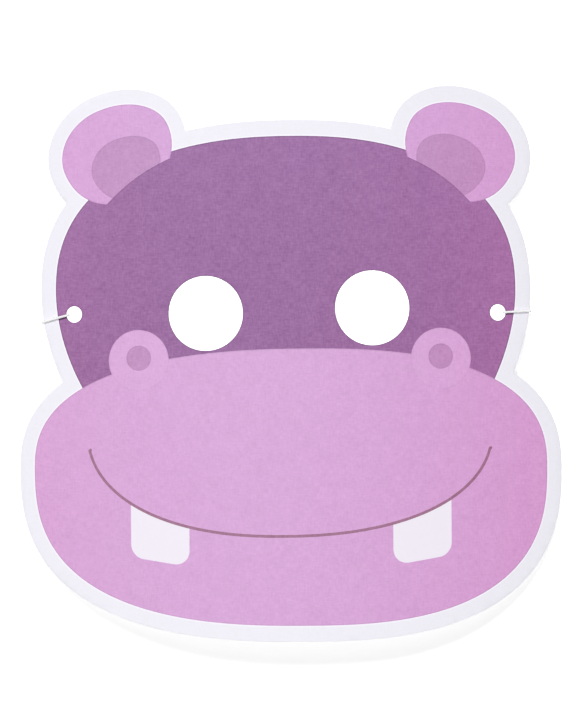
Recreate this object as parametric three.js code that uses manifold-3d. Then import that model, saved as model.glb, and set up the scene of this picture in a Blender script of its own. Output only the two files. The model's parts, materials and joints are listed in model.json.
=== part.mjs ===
// A child's animal mask of printed card, bowed to the face, with an elastic that ties on at each side.
// Units are millimetres. The mask lies face up on its cheeks and ears: +Z up, +Y towards the ears.
import * as THREE from 'three';
import { mergeVertices } from 'three/addons/utils/BufferGeometryUtils.js';
import Module from 'manifold-3d';

const wasm = await Module();
wasm.setup();

// The card. Positions on it are flat ones, measured before it is bowed: "across" to the right and "up"
// towards the ears, from a point midway between the nostrils. "lift" is the height above its front face.
const CARD_THICKNESS = 0.5;
const BOW_RADIUS = 315;
const BOW_FACETS = 37;
const BORDER = 6.2;
const LEFT_EAR_BORDER = 5.9;
const RIGHT_EAR_BORDER = 6.4;

// The printed shapes whose outlines, grown by the border, make the cut edge. Each is made of halves of
// superellipses that meet at its widest line.
const HEAD = {
  across: 1.5, up: 27, tilt: 0, left: 93.8, right: 87.5, top: 59.5, bottom: 88.4,
  topPower: 2.33, bottomPower: 1.85,
};
const MUZZLE = {
  across: 7.4, up: -41.6, tilt: 0, left: 109.1, right: 94.4, top: 46.2, bottom: 60.6,
  topPower: 2.44, bottomPower: 2.6,
};
const EAR = {
  across: 69.5, up: 81.35, tilt: -24.15, left: 24.8, right: 20.4, top: 16.6, bottom: 20.05,
  topPower: 1.99, bottomPower: 2.12,
};
const HEAD_SIDES = 120;
const EAR_SIDES = 60;

// The holes
const EYE_RADIUS = 14.4;
const EYES = [{ across: -32.5, up: 18.4 }, { across: 31.9, up: 20.1 }];
const STRAP_RADIUS = 3.15;
const EYE_SIDES = 48;
const STRAP_SIDES = 24;

// The elastic. Each side has its strap hole, the heading of its loop from the hole to the card's edge, and
// how far the loop lies towards the ears from the hole's middle.
const CORD_DIAMETER = 0.9;
const CORD_SIDES = 8;
const STRAPS = [
  { side: 'left', hole: { across: -84.8, up: 18.5 }, heading: { across: -9.4, up: -2.4 }, earwards: 0.35 },
  { side: 'right', hole: { across: 81.7, up: 18.1 }, heading: { across: 9.4, up: 0.5 }, earwards: -0.1 },
];

// A loop, from its knot behind the card, up through the hole, over the front, round the edge and back.
// "out" is how far outside the hole's rim it is, and the edge is 9.8 mm out.
const LOOP_ROUTE = [
  { out: 2.1, lift: -1.95 },
  { out: 1.2, lift: -1.8 },
  { out: 0.2, lift: -1.45 },
  { out: -0.55, lift: -0.85 },
  { out: -0.75, lift: -0.1 },
  { out: -0.35, lift: 0.5 },
  { out: 0.5, lift: 0.7 },
  { out: 2.5, lift: 0.67 },
  { out: 5.5, lift: 0.67 },
  { out: 8.5, lift: 0.67 },
  { out: 9.75, lift: 0.63 },
  { out: 10.35, lift: 0.3 },
  { out: 10.5, lift: -0.25 },
  { out: 10.35, lift: -0.8 },
  { out: 9.75, lift: -1.2 },
  { out: 8.4, lift: -1.45 },
  { out: 7, lift: -1.6 },
  { out: 5.5, lift: -1.9 },
];
const LOOP_STEP = 0.45;
const KNOT = { out: 3.8, lift: -1.95, width: 2.8, depth: 2.2 };

// The elastic between the knots, 260 mm long, lies loose on the surface under the bow. Each row is a point
// of its centreline in the laid-down frame.
const SPAN_ROUTE = [
  [-89.4, 15.9, 1.75],
  [-88, 12.4, 1.1],
  [-86.4, 8.6, 0.66],
  [-84.6, 3.4, 0.5],
  [-82.4, -5, 0.46],
  [-79.2, -15.6, 0.46],
  [-73.6, -26.8, 0.46],
  [-65, -37.4, 0.46],
  [-52.6, -46.6, 0.46],
  [-37, -53.2, 0.46],
  [-19, -57.2, 0.46],
  [0.5, -58.2, 0.46],
  [20.2, -56.2, 0.46],
  [39, -51.2, 0.46],
  [55.6, -43.2, 0.46],
  [68.5, -32.6, 0.46],
  [77.4, -20.4, 0.46],
  [82.8, -7.6, 0.46],
  [85.4, 3, 0.52],
  [86.3, 10.5, 1.05],
  [86.9, 17.6, 2.45],
];
const SPAN_STEPS = 80;

const PAPER = { color: 0xf1eff7, roughness: 0.75, metalness: 0 };
const ELASTIC = { color: 0xf4f3f2, roughness: 0.8, metalness: 0 };

function finish(look) {
  return new THREE.MeshStandardMaterial(look);
}

function mirrored(shape) {
  return { ...shape, across: -shape.across, tilt: -shape.tilt, left: shape.right, right: shape.left };
}

// The outline of a printed shape, grown outwards by the border along its normals.
function grownOutline(shape, border, sides) {
  const points = [];
  const turn = THREE.MathUtils.degToRad(shape.tilt);
  const centre = new THREE.Vector2(shape.across, shape.up);
  for (let i = 0; i < sides; i += 1) {
    const angle = (i / sides) * 2 * Math.PI;
    const c = Math.cos(angle);
    const s = Math.sin(angle);
    const halfWidth = c > 0 ? shape.right : shape.left;
    const halfHeight = s > 0 ? shape.top : shape.bottom;
    const power = s > 0 ? shape.topPower : shape.bottomPower;
    const x = Math.sign(c) * Math.abs(c) ** (2 / power);
    const y = Math.sign(s) * Math.abs(s) ** (2 / power);
    const normal = new THREE.Vector2(
      Math.sign(x) * Math.abs(x) ** (power - 1) / halfWidth,
      Math.sign(y) * Math.abs(y) ** (power - 1) / halfHeight,
    ).normalize();
    const point = new THREE.Vector2(x * halfWidth, y * halfHeight).addScaledVector(normal, border);
    points.push(point.rotateAround(new THREE.Vector2(), turn).add(centre));
  }
  return points;
}

function circleOutline(centre, radius, sides) {
  const points = [];
  for (let i = 0; i < sides; i += 1) {
    const angle = ((i + 0.5) / sides) * 2 * Math.PI;
    points.push(new THREE.Vector2(
      centre.across + radius * Math.cos(angle),
      centre.up + radius * Math.sin(angle),
    ));
  }
  return points;
}

// Where a flat position lies once the card is bowed about a line along Y.
function bend(across, up, lift) {
  const angle = across / BOW_RADIUS;
  const radius = BOW_RADIUS + lift;
  return new THREE.Vector3(radius * Math.sin(angle), up, radius * Math.cos(angle) - BOW_RADIUS);
}

function toSolid(geometry) {
  geometry.deleteAttribute('normal');
  geometry.deleteAttribute('uv');
  const merged = mergeVertices(geometry);
  return new wasm.Manifold(new wasm.Mesh({
    numProp: 3,
    vertProperties: new Float32Array(merged.attributes.position.array),
    triVerts: new Uint32Array(merged.index.array),
  }));
}

function toGeometry(solid) {
  const mesh = solid.getMesh();
  const geometry = new THREE.BufferGeometry();
  geometry.setAttribute('position', new THREE.BufferAttribute(mesh.vertProperties, 3));
  geometry.setIndex(new THREE.BufferAttribute(mesh.triVerts, 1));
  geometry.computeVertexNormals();
  return geometry;
}

// A cutter standing upright over a flat outline, tall enough to pass through the whole bow.
function cutter(outline) {
  const tall = 100;
  const plan = outline.map((point) => {
    const bent = bend(point.x, point.y, 0);
    return new THREE.Vector2(bent.x, bent.y);
  });
  const geometry = new THREE.ExtrudeGeometry(new THREE.Shape(plan), { depth: tall, bevelEnabled: false });
  geometry.translate(0, 0, -tall / 2);
  return toSolid(geometry);
}

// A sheet of card larger than the mask, bowed in flat facets, the middle one level.
function bowedSheet() {
  const halfWidth = 114;
  const length = 260;
  const front = [];
  const back = [];
  for (let i = 0; i <= BOW_FACETS; i += 1) {
    const across = halfWidth * (2 * i / BOW_FACETS - 1);
    const onFront = bend(across, 0, 0);
    const onBack = bend(across, 0, -CARD_THICKNESS);
    front.push(new THREE.Vector2(onFront.x, onFront.z));
    back.push(new THREE.Vector2(onBack.x, onBack.z));
  }
  const section = new THREE.Shape([...back, ...front.reverse()]);
  const geometry = new THREE.ExtrudeGeometry(section, { depth: length, bevelEnabled: false });
  geometry.rotateX(Math.PI / 2);
  geometry.translate(0, length / 2, 0);
  return toSolid(geometry);
}

function maskCard() {
  let blank = cutter(grownOutline(HEAD, BORDER, HEAD_SIDES));
  blank = blank.add(cutter(grownOutline(MUZZLE, BORDER, HEAD_SIDES)));
  blank = blank.add(cutter(grownOutline(EAR, RIGHT_EAR_BORDER, EAR_SIDES)));
  blank = blank.add(cutter(grownOutline(mirrored(EAR), LEFT_EAR_BORDER, EAR_SIDES)));
  for (const eye of EYES) {
    blank = blank.subtract(cutter(circleOutline(eye, EYE_RADIUS, EYE_SIDES)));
  }
  for (const strap of STRAPS) {
    blank = blank.subtract(cutter(circleOutline(strap.hole, STRAP_RADIUS, STRAP_SIDES)));
  }
  const card = new THREE.Mesh(toGeometry(bowedSheet().intersect(blank)), finish(PAPER));
  card.name = 'mask_card';
  return card;
}

// Sets the mask down over the origin. It first touches the surface at its cheeks, the lowest corners of the
// bow, and tips about them until its ears touch too.
function laidDown(card) {
  const corners = [];
  const places = card.geometry.attributes.position;
  for (let i = 0; i < places.count; i += 1) {
    corners.push(new THREE.Vector3().fromBufferAttribute(places, i));
  }
  const cheek = corners.reduce((lowest, corner) => (corner.z < lowest.z ? corner : lowest));
  const upperCorners = corners.filter((corner) => corner.y > 0);
  const tips = upperCorners.map((corner) => Math.atan2(corner.z - cheek.z, corner.y - cheek.y));
  const mask = new THREE.Group();
  mask.add(card);
  mask.rotation.x = -Math.min(...tips);
  const box = new THREE.Box3().setFromObject(mask, true);
  const centre = box.getCenter(new THREE.Vector3());
  mask.position.set(-centre.x, -centre.y, -box.min.z);
  mask.updateMatrixWorld(true);
  return mask;
}

// A position on a strap's loop, in the laid-down frame.
function onStrap(strap, mask, { out, lift }) {
  const heading = new THREE.Vector2(strap.heading.across, strap.heading.up).normalize();
  const place = new THREE.Vector2(strap.hole.across, strap.hole.up + strap.earwards);
  place.addScaledVector(heading, STRAP_RADIUS + out);
  return bend(place.x, place.y, lift).applyMatrix4(mask.matrixWorld);
}

function cordSection() {
  const points = [];
  for (let i = 0; i < CORD_SIDES; i += 1) {
    const angle = ((i + 0.5) / CORD_SIDES) * 2 * Math.PI;
    points.push(new THREE.Vector2(Math.cos(angle), Math.sin(angle)).multiplyScalar(CORD_DIAMETER / 2));
  }
  return new THREE.Shape(points);
}

function cord(name, path, steps) {
  const geometry = new THREE.ExtrudeGeometry(cordSection(), {
    extrudePath: path, steps, bevelEnabled: false,
  });
  const mesh = new THREE.Mesh(geometry, finish(ELASTIC));
  mesh.name = name;
  return mesh;
}

function elasticLoop(strap, mask) {
  const path = new THREE.CatmullRomCurve3(LOOP_ROUTE.map((point) => onStrap(strap, mask, point)));
  return cord(`elastic_loop_${strap.side}`, path, Math.round(path.getLength() / LOOP_STEP));
}

function elasticSpan() {
  const path = new THREE.CatmullRomCurve3(SPAN_ROUTE.map((point) => new THREE.Vector3(...point)));
  return cord('elastic_span', path, SPAN_STEPS);
}

// A drawn-tight overhand knot, as the lump that it makes, flat towards the card.
function knot(strap, mask) {
  const sides = 14;
  const rings = 9;
  const geometry = new THREE.SphereGeometry(1, sides, rings);
  const mesh = new THREE.Mesh(geometry, finish(ELASTIC));
  const centre = onStrap(strap, mask, KNOT);
  const nearer = onStrap(strap, mask, { ...KNOT, lift: KNOT.lift + 1 });
  mesh.position.copy(centre);
  mesh.quaternion.setFromUnitVectors(new THREE.Vector3(0, 1, 0), nearer.sub(centre).normalize());
  mesh.scale.set(KNOT.width / 2, KNOT.depth / 2, KNOT.width / 2);
  mesh.name = `knot_${strap.side}`;
  return mesh;
}

const mask = laidDown(maskCard());
const part = new THREE.Group();
part.add(mask, elasticSpan());
for (const strap of STRAPS) {
  part.add(elasticLoop(strap, mask), knot(strap, mask));
}

export default part;
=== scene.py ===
import json
import math

import bmesh
import bpy
from mathutils import Matrix, Vector


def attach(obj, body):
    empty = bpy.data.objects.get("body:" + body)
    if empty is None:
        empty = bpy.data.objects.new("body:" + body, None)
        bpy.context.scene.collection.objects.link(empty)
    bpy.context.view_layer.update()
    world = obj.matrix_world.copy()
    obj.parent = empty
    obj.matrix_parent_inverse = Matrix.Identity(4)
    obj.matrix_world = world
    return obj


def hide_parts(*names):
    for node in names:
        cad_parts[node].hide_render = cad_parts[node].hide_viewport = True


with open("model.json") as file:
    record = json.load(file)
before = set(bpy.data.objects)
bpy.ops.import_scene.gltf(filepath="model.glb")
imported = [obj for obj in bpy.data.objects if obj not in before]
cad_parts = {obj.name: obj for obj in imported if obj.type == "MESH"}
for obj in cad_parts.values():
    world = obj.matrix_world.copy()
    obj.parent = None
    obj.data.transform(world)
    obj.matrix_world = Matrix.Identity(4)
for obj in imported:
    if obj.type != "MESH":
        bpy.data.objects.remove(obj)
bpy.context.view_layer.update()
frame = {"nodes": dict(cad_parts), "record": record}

# Sizes are in millimetres, and MM turns them into the scene's metres. Positions on the card are flat ones,
# measured before it is bowed: "across" to the right and "up" towards the ears, from a point midway between
# the nostrils. "lift" is the height above its front face.
MM = 0.001
CARD_THICKNESS = 0.5
BOW_RADIUS = 315
BROW_MOUNT_UP = 50

# How finely the card is cut up before it is bowed, and how far its cut edge is worn round. The print ends
# a little below the front, on the worn edge, at FRONT_LIFT. Faces whose normals are this near to upright are
# the flat card's front and back, and edges bent by less than SEAM_ANGLE are seams of the solid's facets.
GRID_STEP = 3.0
GRID_MERGE = 0.02
EDGE_WEAR = 0.14
FRONT_LIFT = -0.03
LEVEL_ENOUGH = 0.98
SEAM_ANGLE = math.radians(0.3)
SHARP_ANGLE = math.radians(20)
SAME_PLACE = 0.001

# The printed shapes, each made of halves of superellipses that meet at its widest line. EAR is the right ear,
# and the left one mirrors it.
HEAD = dict(
    across=1.5, up=27, tilt=0, left=93.8, right=87.5, top=59.5, bottom=88.4,
    top_power=2.33, bottom_power=1.85,
)
MUZZLE = dict(
    across=7.4, up=-41.6, tilt=0, left=109.1, right=94.4, top=46.2, bottom=60.6,
    top_power=2.44, bottom_power=2.6,
)
EAR = dict(
    across=69.5, up=81.35, tilt=-24.15, left=24.8, right=20.4, top=16.6, bottom=20.05,
    top_power=1.99, bottom_power=2.12,
)
INNER_EAR_LEFT = dict(
    across=-65.25, up=75.9, tilt=25.1, left=12.45, right=16.0, top=10.3, bottom=14.0,
    top_power=1.95, bottom_power=1.92,
)
INNER_EAR_RIGHT = dict(
    across=64.45, up=76.15, tilt=-22.75, left=15.35, right=13.0, top=10.2, bottom=14.4,
    top_power=2.02, bottom_power=1.81,
)
MOUTH = dict(
    across=-3.36, up=-26.44, tilt=0, left=76.35, right=82.5, top=41.27, bottom=41.27,
    top_power=2.23, bottom_power=2.23,
)

# Circles are (across, up, radius). The brow circles are where the head covers the foot of each ear.
BROW_CIRCLES = [(-17.5, 10.2, 73.9), (20.0, 14.5, 68.9)]
NOSTRIL_RINGS = [(-58.95, 0.3, 11.9), (58.7, 0.35, 11.9)]
NOSTRILS = [(-58.9, 1.3, 4.87), (58.6, 1.3, 4.87)]
MOUTH_ENDS = [(-78.5, -34.2), (78.5, -34.4)]
MOUTH_STROKE = 1.1

# The teeth are mirror images, and their feet slope
TOOTH_MIDDLE = 50.93
TOOTH_WIDTH = 23.0
TOOTH_TOP = -50.0
TOOTH_FOOT = -77.45
TOOTH_SLOPE = math.radians(9.2)
TOOTH_OUTER_CORNER = 4.8
TOOTH_INNER_CORNER = 6.2

# The edge of an ink is this soft, and it creeps this far to either side where the card takes it up unevenly.
# LEAST_SLOPE keeps a shape's middle from dividing by nothing.
LEAST_SLOPE = 0.001
INK_EDGE = 0.07
INK_CREEP = 0.12
CREEP_SCALE = 2.2

# Ink gathers at the rim of each printed shape, the bare card beside it looks whiter for it, and painted shade
# darkens the card round a punched hole. The brow laps a little over the outline of each ear.
RIM_WIDTH = 0.4
HOLE_RIM_SHADE = 0.2
BARE_RIM_WIDTH = 0.7
BARE_RIM_LIGHTER = 0.14
BROW_LAP = 0.3

# Colours as they look in full light, as red, green and blue out of 255
CARD_WHITE = (240, 238, 246)
CARD_BACK = (239, 238, 241)
HEAD_INK = (149, 100, 154)
EAR_INK = (213, 164, 215)
INNER_EAR_INK = (193, 145, 193)
MUZZLE_INK = (214, 166, 215)
RING_INK = (216, 169, 217)
NOSTRIL_INK = (192, 143, 191)
MOUTH_INK = (162, 115, 143)
TOOTH_INK = (241, 235, 246)
ELASTIC_WHITE = (254, 254, 254)
FLOOR_WHITE = (252, 252, 252)

# How the tone of the dark ink and the light inks changes over the sheet, partly as ink drift and partly as
# painted
# light and shade across the bow: the share by which red, green and blue grow over DRIFT_REACH to the right,
# towards the ears, and to either side; and how much darker the ink's rim is
DRIFT_REACH = 100
DARK_PRINT_AND_SHADE = dict(right=(0.08, 0.01, 0.035), up=(0.11, 0.19, 0.13), aside=(0.26, 0.2, 0.13), rim=0.3)
LIGHT_PRINT_AND_SHADE = dict(right=(0, -0.05, -0.02), up=(0, 0.02, 0.01), aside=(0.03, -0.06, -0.035), rim=0.13)
BROW_PRINT_AND_SHADE = dict(DARK_PRINT_AND_SHADE, rim=0.15)
SMALL_PRINT_AND_SHADE = dict(LIGHT_PRINT_AND_SHADE, rim=0.07)

# The mottle of the ink: streaks along and across the sheet, softer blotches and wide clouds. Bare card has a
# share of it. MOTTLE_TINT is how much a unit of mottle adds to red, green and blue.
STREAK_LONG = 0.45
STREAK_SHORT = 1.5
STREAK_APART = 7
STREAK_AMOUNT = 0.15
BLOTCH_SCALE = 0.2
BLOTCH_AMOUNT = 0.07
CLOUD_SCALE = 0.05
CLOUD_AMOUNT = 0.03
BARE_MOTTLE = 0.3
MOTTLE_TINT = (1, 0.68, 1)

# The paper's fibre and grain, and its sheen with and without ink
FIBRE_SCALE = 1.6
FIBRE_TONE = 0.05
GRAIN_SCALE = 3.5
GRAIN_DEPTH = 0.02
CARD_ROUGHNESS = 0.62
FIBRE_ROUGHNESS = 0.15
INK_SMOOTHER = 0.08
CARD_SPECULAR = 0.35

# The elastic and its braid of white thread, which is a little fuzzy, with painted shade in the grooves between
# the threads
CORD_DIAMETER = 0.9
CORD_STEP = 0.22
CORD_SIDES = 20
CORD_SHARP_ANGLE = math.radians(60)
CURVE_STEPS = 24
BRAID_THREADS = 8
BRAID_PITCH = 2.6
BRAID_DEPTH = 0.06
BRAID_GROOVE_SHADE = 0.04
FUZZ_AROUND = 6
FUZZ_ALONG = 4
FUZZ_SCALE = 3.0
FUZZ_TONE = 0.04
FUZZ_DEPTH = 0.3
ELASTIC_ROUGHNESS = 0.75
ELASTIC_SPECULAR = 0.3

# Each side has its strap hole, the heading of its loop from the hole to the card's edge, and how far the loop
# lies towards the ears from the hole's middle.
STRAP_RADIUS = 3.15
STRAPS = {
    "left": dict(hole=(-84.8, 18.5), heading=(-9.4, -2.4), earwards=0.35),
    "right": dict(hole=(81.7, 18.1), heading=(9.4, 0.5), earwards=-0.1),
}

# All holes, as (across, up, radius)
EYES = [(-32.5, 18.4, 14.4), (31.9, 20.1, 14.4)]
HOLES = EYES + [(*strap["hole"], STRAP_RADIUS) for strap in STRAPS.values()]

# A painted shadow of the elastic: the ink is darkened along a line beside it, on its chin side.
ELASTIC_SHADOW_AWAY = 0.75
ELASTIC_SHADOW_WIDTH = 0.6
ELASTIC_SHADOW_LENGTH = 6
ELASTIC_SHADOW_DARKER = 0.6

# A loop, from its knot behind the card, up through the hole, over the front, round the edge and back into
# the knot. "out" is how far outside the hole's rim it is, and the edge is 9.8 mm out. "side" is square to
# that along the card, towards the ears.
LOOP_ROUTE = [
    dict(out=2.1, side=0.55, lift=-2.0),
    dict(out=1.2, side=0.35, lift=-1.8),
    dict(out=0.2, side=0.1, lift=-1.45),
    dict(out=-0.55, side=0, lift=-0.85),
    dict(out=-0.75, side=0, lift=-0.1),
    dict(out=-0.35, side=0, lift=0.5),
    dict(out=0.5, side=0, lift=0.7),
    dict(out=2.5, side=0, lift=0.67),
    dict(out=5.5, side=0, lift=0.67),
    dict(out=8.5, side=0, lift=0.67),
    dict(out=9.75, side=0, lift=0.63),
    dict(out=10.35, side=0, lift=0.3),
    dict(out=10.5, side=0, lift=-0.25),
    dict(out=10.35, side=0, lift=-0.8),
    dict(out=9.75, side=0.05, lift=-1.2),
    dict(out=8.4, side=0.25, lift=-1.5),
    dict(out=7, side=0.8, lift=-1.7),
    dict(out=5.5, side=1.65, lift=-1.9),
    dict(out=4.5, side=1.9, lift=-1.95),
    dict(out=3.9, side=1.45, lift=-1.95),
    dict(out=3.8, side=0.6, lift=-1.95),
    dict(out=3.8, side=-0.6, lift=-1.95),
]

# The knot's turns round the loop's other end, and the tail that is left over
TURN_STEPS = 12
KNOT = dict(out=3.8, lift=-1.95, radius=0.93, turns=2, first_side=0.85, pitch=0.95)
TAIL_ROUTE = [
    dict(out=4.9, side=-1.2, lift=-2.85),
    dict(out=5.9, side=-1.6, lift=-2.55),
    dict(out=6.9, side=-2.1, lift=-2.2),
]

# The elastic between the knots lies loose on the floor under the bow. Each row is a point of its centreline
# in the frame of the part.
SPAN_ROUTE = [
    (-89.4, 15.9, 1.75),
    (-88, 12.4, 1.1),
    (-86.4, 8.6, 0.66),
    (-84.6, 3.4, 0.5),
    (-82.4, -5, 0.46),
    (-79.2, -15.6, 0.46),
    (-73.6, -26.8, 0.46),
    (-65, -37.4, 0.46),
    (-52.6, -46.6, 0.46),
    (-37, -53.2, 0.46),
    (-19, -57.2, 0.46),
    (0.5, -58.2, 0.46),
    (20.2, -56.2, 0.46),
    (39, -51.2, 0.46),
    (55.6, -43.2, 0.46),
    (68.5, -32.6, 0.46),
    (77.4, -20.4, 0.46),
    (82.8, -7.6, 0.46),
    (85.4, 3, 0.52),
    (86.3, 10.5, 1.05),
    (86.9, 17.6, 2.45),
]

# The floor reaches this many metres each way, and glows faintly, more so below each hole.
FLOOR_REACH = 3
FLOOR_ROUGHNESS = 0.9
FLOOR_SPECULAR = 0.1
FLOOR_GLOW = 0.31
HOLE_GLOW = 0.4
HOLE_GLOW_EDGE = 8

# The camera looks squarely at the card from this far, and the image's long side spans IMAGE_HEIGHT there. It
# sees as far as CAMERA_SEES metres.
CAMERA_DISTANCE = 1200
IMAGE_HEIGHT = 277.2
SENSOR = 36
CAMERA_ACROSS = 0.54
CAMERA_UP = 0.19
CAMERA_ROLL = math.radians(0.42)
CAMERA_SEES = 10

# The studio's even light, and soft boxes with their places and sizes in metres and their power in watts
STUDIO_LIGHT = 0.27
SOFT_BOXES = {
    "front": dict(place=(0, -0.5, 3.0), size=0.8, power=24.5),
    "top": dict(place=(-1.1, 3.7, 5.9), size=1.3, power=283),
}


def seat_of_card():
    """Where the card lies in the scene: from millimetres in the card's own frame to metres."""
    brow = next(mount for mount in frame["record"]["mounts"] if mount["name"] == "front_face")
    normal = Vector(brow["axis"]).normalized()
    across = Vector((1, 0, 0))
    up = normal.cross(across)
    middle = Vector(brow["pos_m"]) - up * BROW_MOUNT_UP * MM
    turn = Matrix((across, up, normal)).transposed().to_4x4()
    return Matrix.Translation(middle) @ turn @ Matrix.Scale(MM, 4)


SEAT = seat_of_card()
UNSEAT = SEAT.inverted()


def bowed(flat):
    """The place in the scene of a flat position (across, up, lift)."""
    angle = flat[0] / BOW_RADIUS
    radius = BOW_RADIUS + flat[2]
    return SEAT @ Vector((radius * math.sin(angle), flat[1], radius * math.cos(angle) - BOW_RADIUS))


def flattened(place):
    """The flat position of a place on the card, put exactly on its front or its back."""
    here = UNSEAT @ place
    angle = math.atan2(here.x, BOW_RADIUS + here.z)
    lift = math.hypot(here.x, BOW_RADIUS + here.z) - BOW_RADIUS
    return Vector((angle * BOW_RADIUS, here.y, 0 if lift > -CARD_THICKNESS / 2 else -CARD_THICKNESS))


class Value:
    """A socket of a finish's nodes. Sums on it add Math nodes."""

    def __init__(self, finish, socket):
        self.finish = finish
        self.socket = socket

    def math(self, operation, *values):
        return self.finish.node("ShaderNodeMath", {"operation": operation}, dict(enumerate(values)))

    def __add__(self, other):
        return self.math("ADD", self, other)

    def __radd__(self, other):
        return self.math("ADD", other, self)

    def __sub__(self, other):
        return self.math("SUBTRACT", self, other)

    def __rsub__(self, other):
        return self.math("SUBTRACT", other, self)

    def __mul__(self, other):
        return self.math("MULTIPLY", self, other)

    def __rmul__(self, other):
        return self.math("MULTIPLY", other, self)

    def __truediv__(self, other):
        return self.math("DIVIDE", self, other)

    def __rtruediv__(self, other):
        return self.math("DIVIDE", other, self)

    def __pow__(self, other):
        return self.math("POWER", self, other)

    def __neg__(self):
        return self.math("MULTIPLY", self, -1)

    def __abs__(self):
        return self.math("ABSOLUTE", self)

    def __gt__(self, other):
        return self.math("GREATER_THAN", self, other)

    def least(self, other):
        return self.math("MINIMUM", self, other)

    def most(self, other):
        return self.math("MAXIMUM", self, other)

    def root(self):
        return self.math("SQRT", self)

    def sine(self):
        return self.math("SINE", self)

    def kept_in(self, low, high):
        return self.finish.node("ShaderNodeClamp", {}, {"Value": self, "Min": low, "Max": high})


class Finish:
    """A material in the making."""

    def __init__(self, name):
        self.material = bpy.data.materials.new(name)
        self.material.use_nodes = True
        self.nodes = self.material.node_tree.nodes
        self.links = self.material.node_tree.links
        self.shader = self.nodes["Principled BSDF"]

    def node(self, kind, settings, sockets, output=0):
        """Adds a node, with its settings first and then the values or links of its sockets."""
        made = self.nodes.new(kind)
        for name, setting in settings.items():
            setattr(made, name, setting)
        for name, value in sockets.items():
            self.feed(made.inputs[name], value)
        return Value(self, made.outputs[output])

    def feed(self, socket, value):
        if isinstance(value, Value):
            self.links.new(value.socket, socket)
        elif isinstance(value, tuple):
            socket.default_value = value[:len(socket.default_value)]
        else:
            socket.default_value = value

    def mix(self, share, first, second):
        """Colours blended, from first at share 0 to second at share 1."""
        settings = {"data_type": "RGBA"}
        return self.node("ShaderNodeMix", settings, {0: share, 6: first, 7: second}, output=2)

    def shaded(self, colour, brightness):
        """A colour made lighter or darker by a value near 1."""
        settings = {"operation": "SCALE"}
        return self.node("ShaderNodeVectorMath", settings, {0: colour, "Scale": brightness})

    def attribute(self, name):
        return self.node("ShaderNodeAttribute", {"attribute_name": name}, {}, output="Vector")

    def parts_of(self, vector):
        """The x, y and z of a vector."""
        split = self.node("ShaderNodeSeparateXYZ", {}, {"Vector": vector})
        outputs = split.socket.node.outputs
        return [Value(self, outputs[axis]) for axis in "XYZ"]

    def vector(self, x, y, z):
        return self.node("ShaderNodeCombineXYZ", {}, {"X": x, "Y": y, "Z": z})

    def noise(self, vector, scale, detail=2.0, roughness=0.5):
        """Soft noise about 0, mostly within half of 1 of it."""
        sockets = {"Vector": vector, "Scale": scale, "Detail": detail, "Roughness": roughness}
        return self.node("ShaderNodeTexNoise", {}, sockets) - 0.5

    def bump(self, height, distance, strength=1.0):
        sockets = {"Height": height, "Distance": distance, "Strength": strength}
        return self.node("ShaderNodeBump", {}, sockets)

    def paint(self, **inputs):
        """Sets the shader's own sockets, named with _ for a space."""
        for name, value in inputs.items():
            self.feed(self.shader.inputs[name.replace("_", " ")], value)
        return self.material


def ink(colour):
    """The scene's linear colour for one given out of 255."""
    shares = [part / 255 for part in colour]
    linear = [share / 12.92 if share <= 0.04045 else ((share + 0.055) / 1.055) ** 2.4 for share in shares]
    return (*linear, 1)


def half_of(value, low, high):
    """Low where a value is below 0 and high where it is above."""
    return low if low == high else low + (value > 0) * (high - low)


def beyond_oval(across, up, shape):
    """How far outside a shape of superellipse halves a point is, close to its outline."""
    x = across - shape["across"]
    y = up - shape["up"]
    if shape["tilt"]:
        cosine = math.cos(math.radians(shape["tilt"]))
        sine = math.sin(math.radians(shape["tilt"]))
        x, y = x * cosine + y * sine, y * cosine - x * sine
    width = half_of(x, shape["left"], shape["right"])
    height = half_of(y, shape["bottom"], shape["top"])
    power = half_of(y, shape["bottom_power"], shape["top_power"])
    x_share = abs(x) / width
    y_share = abs(y) / height
    x_slope = power * x_share ** (power - 1) / width
    y_slope = power * y_share ** (power - 1) / height
    slope = (x_slope * x_slope + y_slope * y_slope).root()
    return (x_share ** power + y_share ** power - 1) / slope.most(LEAST_SLOPE)


def beyond_circle(across, up, circle):
    x = across - circle[0]
    y = up - circle[1]
    return (x * x + y * y).root() - circle[2]


def beyond_tooth(across, up):
    """How far outside either tooth a point is. The teeth are mirror images, with rounded lower corners."""
    aside = abs(across) - TOOTH_MIDDLE
    past_side = abs(aside) - TOOTH_WIDTH / 2
    past_foot = (TOOTH_FOOT + aside * math.tan(TOOTH_SLOPE) - up) * math.cos(TOOTH_SLOPE)
    rounding = half_of(aside, TOOTH_INNER_CORNER, TOOTH_OUTER_CORNER)
    past_side = past_side + rounding
    past_foot = past_foot + rounding
    corner_side = past_side.most(0)
    corner_foot = past_foot.most(0)
    corner = (corner_side * corner_side + corner_foot * corner_foot).root()
    return corner + past_side.most(past_foot).least(0) - rounding


def axes_of(strap):
    """A strap's heading from its hole to the card's edge, and the direction square to it towards the ears."""
    heading = Vector(strap["heading"]).normalized()
    return heading, Vector((-heading.y, heading.x)) * (1 if heading.x > 0 else -1)


def beyond_painted_elastic_shadow(across, up, strap):
    """How far outside the painted shadow line beside the elastic a point is."""
    heading, earwards = axes_of(strap)
    x = across - strap["hole"][0]
    y = up - strap["hole"][1]
    out = x * heading.x + y * heading.y - STRAP_RADIUS
    side = x * earwards.x + y * earwards.y - strap["earwards"] + ELASTIC_SHADOW_AWAY
    return (abs(side) - ELASTIC_SHADOW_WIDTH / 2).most(-out).most(out - ELASTIC_SHADOW_LENGTH)


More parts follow.
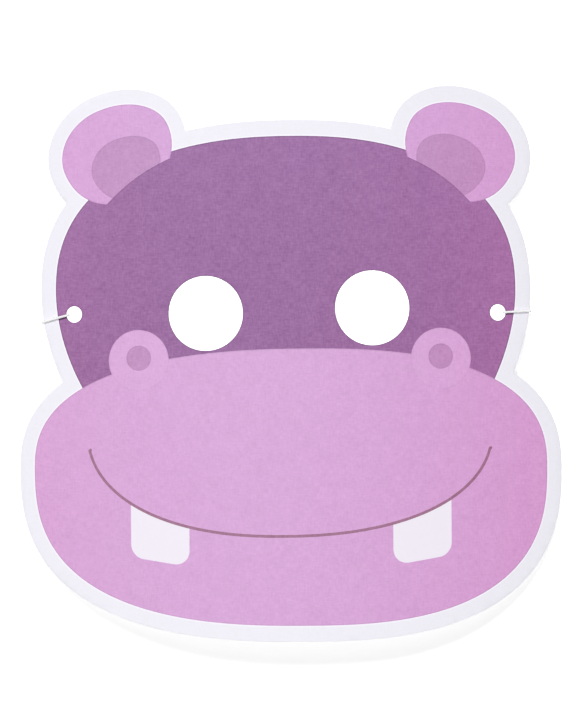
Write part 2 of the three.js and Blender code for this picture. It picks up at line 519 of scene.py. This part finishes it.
def tone_drift_and_painted_shade(finish, colour, across, up, print_and_shade):
    """An ink's colour with its tone changed over the sheet, partly by ink drift and partly by painted light
    and shade.
    """
    right = across / DRIFT_REACH
    gains = []
    for to_right, to_ears, to_sides in zip(print_and_shade["right"], print_and_shade["up"], print_and_shade["aside"]):
        gains.append(1 + right * to_right + up / DRIFT_REACH * to_ears + right * right * to_sides)
    sockets = {0: colour, 1: finish.vector(*gains)}
    return finish.node("ShaderNodeVectorMath", {"operation": "MULTIPLY"}, sockets)


def printed_card():
    """Card printed in flat inks on its front, and plain white on its back and at its cut edges."""
    finish = Finish("printed_card")
    flat = finish.attribute("flat")
    across, up, lift = finish.parts_of(flat)

    creep = finish.noise(flat, CREEP_SCALE, detail=3.0) * INK_CREEP

    def inked(beyond):
        return (0.5 - (beyond + creep) / INK_EDGE).kept_in(0, 1)

    def nearest(distances):
        closest = distances[0]
        for distance in distances[1:]:
            closest = closest.least(distance)
        return closest

    to_head = beyond_oval(across, up, HEAD)
    to_inner_ears = nearest([beyond_oval(across, up, ear) for ear in (INNER_EAR_LEFT, INNER_EAR_RIGHT)])
    to_brow = to_head.most(nearest([beyond_circle(across, up, circle) for circle in BROW_CIRCLES]))
    to_mouth_edge = beyond_oval(across, up, MOUTH)
    line_end = max(end[1] for end in MOUTH_ENDS)
    to_mouth_line = (abs(to_mouth_edge) - MOUTH_STROKE / 2).most(up - line_end)
    to_mouth = nearest(
        [to_mouth_line] + [beyond_circle(across, up, (*end, MOUTH_STROKE / 2)) for end in MOUTH_ENDS]
    )
    to_ears = beyond_oval(abs(across), up, EAR)
    to_muzzle = beyond_oval(across, up, MUZZLE)
    to_rings = nearest([beyond_circle(across, up, circle) for circle in NOSTRIL_RINGS])
    to_nostrils = nearest([beyond_circle(across, up, circle) for circle in NOSTRILS])
    # The brow is printed only over the ears, and has a rim only there.
    brow_cover = to_brow.most(to_ears.least(to_inner_ears) - BROW_LAP)
    brow_rim = to_brow.least(-to_ears - RIM_WIDTH)
    # Each layer has the distance outside its shape, the one that its rim goes by, its ink, and how that prints
    # and is painted with light and shade.
    layers = [
        (to_head, to_head, HEAD_INK, DARK_PRINT_AND_SHADE),
        (to_ears, to_ears, EAR_INK, LIGHT_PRINT_AND_SHADE),
        (to_inner_ears, to_inner_ears, INNER_EAR_INK, SMALL_PRINT_AND_SHADE),
        (brow_cover, brow_rim, HEAD_INK, BROW_PRINT_AND_SHADE),
        (to_muzzle, to_muzzle, MUZZLE_INK, LIGHT_PRINT_AND_SHADE),
        (to_rings, to_rings, RING_INK, SMALL_PRINT_AND_SHADE),
        (to_nostrils, to_nostrils, NOSTRIL_INK, SMALL_PRINT_AND_SHADE),
        (to_mouth, to_mouth, MOUTH_INK, SMALL_PRINT_AND_SHADE),
    ]
    bare_rim = (1 - nearest([to_head, to_ears, to_muzzle]) / BARE_RIM_WIDTH).kept_in(0, 1)
    colour = finish.shaded(ink(CARD_WHITE), 1 + bare_rim * BARE_RIM_LIGHTER)
    inked_share = 0
    for beyond, beyond_rim, ink_colour, print_and_shade in layers:
        share = inked(beyond)
        rim = inked(-RIM_WIDTH - beyond_rim)
        # The ink's tone changes over the sheet, partly as ink drift and partly as painted light and shade
        # across the bow.
        tone = tone_drift_and_painted_shade(finish, ink(ink_colour), across, up, print_and_shade)
        tone = finish.shaded(tone, 1 - rim * print_and_shade["rim"])
        colour = finish.mix(share, colour, tone)
        inked_share = share if inked_share == 0 else inked_share.most(share)
    teeth = inked(beyond_tooth(across, up).most(-to_mouth_edge + MOUTH_STROKE / 2).most(up - TOOTH_TOP))
    colour = finish.mix(teeth, colour, ink(TOOTH_INK))
    inked_share = inked_share - teeth

    upright = finish.vector(across * STREAK_SHORT, up * STREAK_LONG, STREAK_APART)
    level = finish.vector(across * STREAK_LONG, up * STREAK_SHORT, 0)
    streaks = finish.noise(level, 1.0, detail=3.0) + finish.noise(upright, 1.0, detail=3.0)
    blotches = finish.noise(flat, BLOTCH_SCALE)
    clouds = finish.noise(flat, CLOUD_SCALE)
    mottle = streaks * STREAK_AMOUNT + blotches * BLOTCH_AMOUNT + clouds * CLOUD_AMOUNT
    mottle = mottle * (BARE_MOTTLE + inked_share * (1 - BARE_MOTTLE))
    fibre = finish.noise(flat, FIBRE_SCALE, detail=5.0, roughness=0.7)
    sockets = {0: finish.vector(mottle, mottle, mottle), 1: MOTTLE_TINT, 2: colour}
    front = finish.node("ShaderNodeVectorMath", {"operation": "MULTIPLY_ADD"}, sockets)
    # Painted shade darkens the card round the rim of each hole.
    hole_rim_shade = inked(nearest([beyond_circle(across, up, hole) for hole in HOLES]) - RIM_WIDTH)
    front = finish.shaded(front, 1 - hole_rim_shade * HOLE_RIM_SHADE)
    # The painted shadow of the elastic darkens the ink on its chin side.
    painted_elastic_shadow = inked(nearest([beyond_painted_elastic_shadow(across, up, strap) for strap in STRAPS.values()]))
    front = finish.shaded(front, 1 - painted_elastic_shadow * inked_share * ELASTIC_SHADOW_DARKER)

    back = finish.shaded(ink(CARD_BACK), 1 + fibre * FIBRE_TONE)
    on_front = lift > FRONT_LIFT
    grain = finish.noise(flat, GRAIN_SCALE, detail=4.0, roughness=0.65)
    return finish.paint(
        Base_Color=finish.mix(on_front, back, front),
        Roughness=CARD_ROUGHNESS + fibre * FIBRE_ROUGHNESS - on_front * inked_share * INK_SMOOTHER,
        Specular_IOR_Level=CARD_SPECULAR,
        Normal=finish.bump(grain + fibre, GRAIN_DEPTH * MM),
    )


def braided_elastic():
    """Thin round elastic under a close braid of white thread."""
    finish = Finish("braided_elastic")
    around, along, _ = finish.parts_of(finish.node("ShaderNodeUVMap", {"uv_map": "braid"}, {}))
    turn = around * (BRAID_THREADS * math.pi)
    climb = along * (2 * math.pi / BRAID_PITCH)
    thread = abs((turn + climb).sine()) * abs((turn - climb).sine())
    fuzz = finish.noise(finish.vector(around * FUZZ_AROUND, along * FUZZ_ALONG, 0), FUZZ_SCALE, detail=3.0)
    # Painted shade darkens the grooves between the threads of the braid.
    brightness = 1 - BRAID_GROOVE_SHADE + thread * BRAID_GROOVE_SHADE + fuzz * FUZZ_TONE
    return finish.paint(
        Base_Color=finish.shaded(ink(ELASTIC_WHITE), brightness),
        Roughness=ELASTIC_ROUGHNESS,
        Specular_IOR_Level=ELASTIC_SPECULAR,
        Normal=finish.bump(thread + fuzz * FUZZ_DEPTH, BRAID_DEPTH * MM),
    )


def white_floor():
    """A white floor, lit a little from below, and more where it shows through the holes in the card."""
    finish = Finish("floor_white")
    x, y, _ = finish.parts_of(finish.node("ShaderNodeTexCoord", {}, {}, output="Object"))
    glow = FLOOR_GLOW
    for hole in HOLES:
        middle = bowed((hole[0], hole[1], 0))
        away = ((x - middle.x) * (x - middle.x) + (y - middle.y) * (y - middle.y)).root() / MM
        glow = glow + ((hole[2] + HOLE_GLOW_EDGE - away) / HOLE_GLOW_EDGE).kept_in(0, 1) * HOLE_GLOW
    return finish.paint(
        Base_Color=ink(FLOOR_WHITE),
        Roughness=FLOOR_ROUGHNESS,
        Specular_IOR_Level=FLOOR_SPECULAR,
        Emission_Color=finish.vector(glow, glow, glow),
        Emission_Strength=1.0,
    )


def piece(name, bm, finish):
    """An object of the part, with its place in its mesh."""
    mesh = bpy.data.meshes.new(name)
    bm.to_mesh(mesh)
    bm.free()
    mesh.materials.append(finish)
    made = bpy.data.objects.new(name, mesh)
    bpy.context.scene.collection.objects.link(made)
    mesh.shade_smooth()
    return made


def is_face_of_card(face):
    return abs(face.normal.z) > LEVEL_ENOUGH


def lies_on_grid(edge):
    """Whether an edge of the flat card lies along a line of the grid that it is cut by."""
    for axis in (0, 1):
        first, second = (vert.co[axis] / GRID_STEP for vert in edge.verts)
        if max(abs(first - round(first)), abs(second - round(first))) * GRID_STEP < GRID_MERGE:
            return True
    return False


def card_piece(finish):
    """The card: a merged copy of its solid, laid flat, worn at its edges, cut finely and bowed again."""
    bm = bmesh.new()
    bm.from_mesh(frame["nodes"]["mask_card"].data)
    bmesh.ops.remove_doubles(bm, verts=bm.verts, dist=SAME_PLACE * MM)
    for vert in bm.verts:
        vert.co = flattened(vert.co)
    bmesh.ops.dissolve_limit(bm, angle_limit=SEAM_ANGLE, verts=bm.verts, edges=bm.edges)
    bm.normal_update()
    cut_edges = [edge for edge in bm.edges if sum(map(is_face_of_card, edge.link_faces)) == 1]
    bmesh.ops.bevel(
        bm, geom=cut_edges, offset=EDGE_WEAR, offset_type="OFFSET", segments=2, profile=0.5, affect="EDGES",
        material=-1,
    )
    bm.normal_update()
    bmesh.ops.triangulate(bm, faces=[face for face in bm.faces if is_face_of_card(face)])

    reach = max(max(abs(vert.co.x), abs(vert.co.y)) for vert in bm.verts)
    lines = math.floor(reach / GRID_STEP)
    for axis in (Vector((1, 0, 0)), Vector((0, 1, 0))):
        for line in range(-lines, lines + 1):
            whole = bm.verts[:] + bm.edges[:] + bm.faces[:]
            bmesh.ops.bisect_plane(
                bm, geom=whole, dist=GRID_MERGE / 2, plane_co=axis * line * GRID_STEP, plane_no=axis,
            )
    bmesh.ops.dissolve_degenerate(bm, dist=GRID_MERGE / 2, edges=bm.edges)
    bm.normal_update()
    inner_edges = [edge for edge in bm.edges if all(map(is_face_of_card, edge.link_faces))]
    stray_edges = [edge for edge in inner_edges if not lies_on_grid(edge)]
    bmesh.ops.dissolve_edges(bm, edges=stray_edges, use_verts=True)

    flat = bm.verts.layers.float_vector.new("flat")
    for vert in bm.verts:
        vert[flat] = vert.co
        vert.co = bowed(vert.co)
    bm.normal_update()
    card = piece("mask_card_printed", bm, finish)
    card.data.set_sharp_from_angle(angle=SHARP_ANGLE)
    return card


def smooth_line(points, step, before=None):
    """Evenly spaced points on a centripetal Catmull-Rom curve through the given ones, coming from before."""
    if before is None:
        before = points[0] * 2 - points[1]
    after = points[-1] * 2 - points[-2]
    row = [before, *points, after]
    dense = []
    for p0, p1, p2, p3 in zip(row, row[1:], row[2:], row[3:]):
        d1 = (p1 - p0).length ** 0.5
        d2 = (p2 - p1).length ** 0.5
        d3 = (p3 - p2).length ** 0.5
        out = ((p1 - p0) / d1 - (p2 - p0) / (d1 + d2) + (p2 - p1) / d2) * d2
        into = ((p2 - p1) / d2 - (p3 - p1) / (d2 + d3) + (p3 - p2) / d3) * d2
        for i in range(CURVE_STEPS):
            t = i / CURVE_STEPS
            dense.append(
                p1 * (2 * t**3 - 3 * t**2 + 1) + out * (t**3 - 2 * t**2 + t)
                + p2 * (3 * t**2 - 2 * t**3) + into * (t**3 - t**2)
            )
    dense.append(points[-1].copy())
    reach = [0]
    for a, b in zip(dense, dense[1:]):
        reach.append(reach[-1] + (b - a).length)
    count = max(2, round(reach[-1] / step))
    line = []
    j = 0
    for i in range(count + 1):
        target = reach[-1] * i / count
        while j < len(dense) - 2 and reach[j + 1] < target:
            j += 1
        share = (target - reach[j]) / (reach[j + 1] - reach[j])
        line.append(dense[j].lerp(dense[j + 1], share))
    return line


def join_heading(line, next_line):
    """The heading halfway between a line's last one and the first one of the line that goes on from it."""
    return ((line[-1] - line[-2]).normalized() + (next_line[1] - next_line[0]).normalized()).normalized()


def elastic_piece(name, line, finish, first_heading=None, last_heading=None):
    """A length of the elastic along a line of points: a sheet rolled round it and closed at its ends."""
    bm = bmesh.new()
    braid = bm.loops.layers.uv.new("braid")
    steps = len(line) - 1
    bmesh.ops.create_grid(bm, x_segments=CORD_SIDES, y_segments=steps, size=0.5, calc_uvs=False)
    cord_length = sum((b - a).length for a, b in zip(line, line[1:])) / MM
    headings = []
    for i in range(steps + 1):
        headings.append((line[min(i + 1, steps)] - line[max(i - 1, 0)]).normalized())
    headings[0] = first_heading or headings[0]
    headings[-1] = last_heading or headings[-1]
    side = headings[0].orthogonal()
    sides = [side]
    for a, b in zip(headings, headings[1:]):
        side = a.rotation_difference(b) @ side
        sides.append((side - b * side.dot(b)).normalized())
        side = sides[-1]
    for face in bm.faces:
        for loop in face.loops:
            loop[braid].uv = (loop.vert.co.x + 0.5, (loop.vert.co.y + 0.5) * cord_length)
    for vert in bm.verts:
        i = round((vert.co.y + 0.5) * steps)
        angle = (vert.co.x + 0.5) * 2 * math.pi
        outward = sides[i] * math.cos(angle) + headings[i].cross(sides[i]) * math.sin(angle)
        vert.co = line[i] + outward * CORD_DIAMETER / 2 * MM
    bmesh.ops.remove_doubles(bm, verts=bm.verts, dist=SAME_PLACE * MM)
    bmesh.ops.holes_fill(bm, edges=[edge for edge in bm.edges if edge.is_boundary], sides=0)
    bmesh.ops.recalc_face_normals(bm, faces=bm.faces)
    made = piece(name, bm, finish)
    made.data.set_sharp_from_angle(angle=CORD_SHARP_ANGLE)
    return made


def on_strap(strap, out, side, lift):
    """The place in the scene of a position on a strap's loop."""
    heading, earwards = axes_of(strap)
    here = Vector(strap["hole"]) + heading * (STRAP_RADIUS + out) + earwards * (strap["earwards"] + side)
    return bowed((here.x, here.y, lift))


def loop_points(strap):
    return [on_strap(strap, **place) for place in LOOP_ROUTE]


def knot_points(strap):
    """From the loop's first end, in close turns round its other end, and out as a short tail."""
    points = [on_strap(strap, **LOOP_ROUTE[0])]
    for i in range(KNOT["turns"] * TURN_STEPS + 1):
        angle = (i / TURN_STEPS - 0.25) * 2 * math.pi
        points.append(on_strap(
            strap,
            out=KNOT["out"] + KNOT["radius"] * math.cos(angle),
            side=KNOT["first_side"] - KNOT["pitch"] * i / TURN_STEPS,
            lift=KNOT["lift"] + KNOT["radius"] * math.sin(angle),
        ))
    return points + [on_strap(strap, **place) for place in TAIL_ROUTE]


def loop_line(strap, span_end):
    """The loop, which comes out of its knot without a kink and ends at the span."""
    return smooth_line(loop_points(strap) + [span_end], CORD_STEP * MM, before=knot_points(strap)[1])


def knot_line(strap):
    return smooth_line(knot_points(strap), CORD_STEP * MM, before=loop_points(strap)[1])


def make_camera():
    data = bpy.data.cameras.new("camera")
    camera = bpy.data.objects.new("camera", data)
    bpy.context.scene.collection.objects.link(camera)
    data.sensor_width = SENSOR
    data.lens = SENSOR * CAMERA_DISTANCE / IMAGE_HEIGHT
    data.clip_end = CAMERA_SEES
    turn = SEAT.to_3x3().normalized() @ Matrix.Rotation(-CAMERA_ROLL, 3, "Z")
    place = SEAT @ Vector((CAMERA_ACROSS, CAMERA_UP, CAMERA_DISTANCE))
    camera.matrix_world = Matrix.Translation(place) @ turn.to_4x4()
    bpy.context.scene.camera = camera


def soft_light(name, place, size, power):
    """A square soft box that points at the middle of the scene."""
    data = bpy.data.lights.new(name, "AREA")
    data.size = size
    data.energy = power
    light = bpy.data.objects.new(name, data)
    bpy.context.scene.collection.objects.link(light)
    light.location = place
    light.rotation_euler = (-Vector(place)).to_track_quat("-Z", "Y").to_euler()


def light_the_scene():
    world = bpy.data.worlds.new("studio")
    bpy.context.scene.world = world
    world.use_nodes = True
    background = world.node_tree.nodes["Background"]
    background.inputs["Color"].default_value = (1, 1, 1, 1)
    background.inputs["Strength"].default_value = STUDIO_LIGHT
    for name, box in SOFT_BOXES.items():
        soft_light(name, **box)
    bpy.context.scene.view_settings.view_transform = "Standard"


def lay_floor():
    bm = bmesh.new()
    bmesh.ops.create_grid(bm, x_segments=1, y_segments=1, size=FLOOR_REACH)
    floor = piece("floor", bm, white_floor())


make_camera()
card_finish = printed_card()
elastic_finish = braided_elastic()

span_line = smooth_line([Vector(place) * MM for place in SPAN_ROUTE], CORD_STEP * MM)
span_from = {"left": span_line, "right": span_line[::-1]}
loop_lines = {name: loop_line(strap, span_from[name][0]) for name, strap in STRAPS.items()}
joins = {name: join_heading(loop_lines[name], span_from[name]) for name in STRAPS}
span = elastic_piece("elastic_span_braided", span_line, elastic_finish, joins["left"], -joins["right"])
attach(span, "root")
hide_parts("elastic_span")

for side_name, strap in STRAPS.items():
    loop = elastic_piece(
        f"elastic_loop_{side_name}_braided", loop_lines[side_name], elastic_finish,
        last_heading=joins[side_name],
    )
    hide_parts(f"elastic_loop_{side_name}")
    knot = elastic_piece(f"knot_{side_name}_tied", knot_line(strap), elastic_finish)
    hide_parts(f"knot_{side_name}")
    for made in (loop, knot):
        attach(made, "root")

card = card_piece(card_finish)
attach(card, "root")
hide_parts("mask_card")

lay_floor()
light_the_scene()
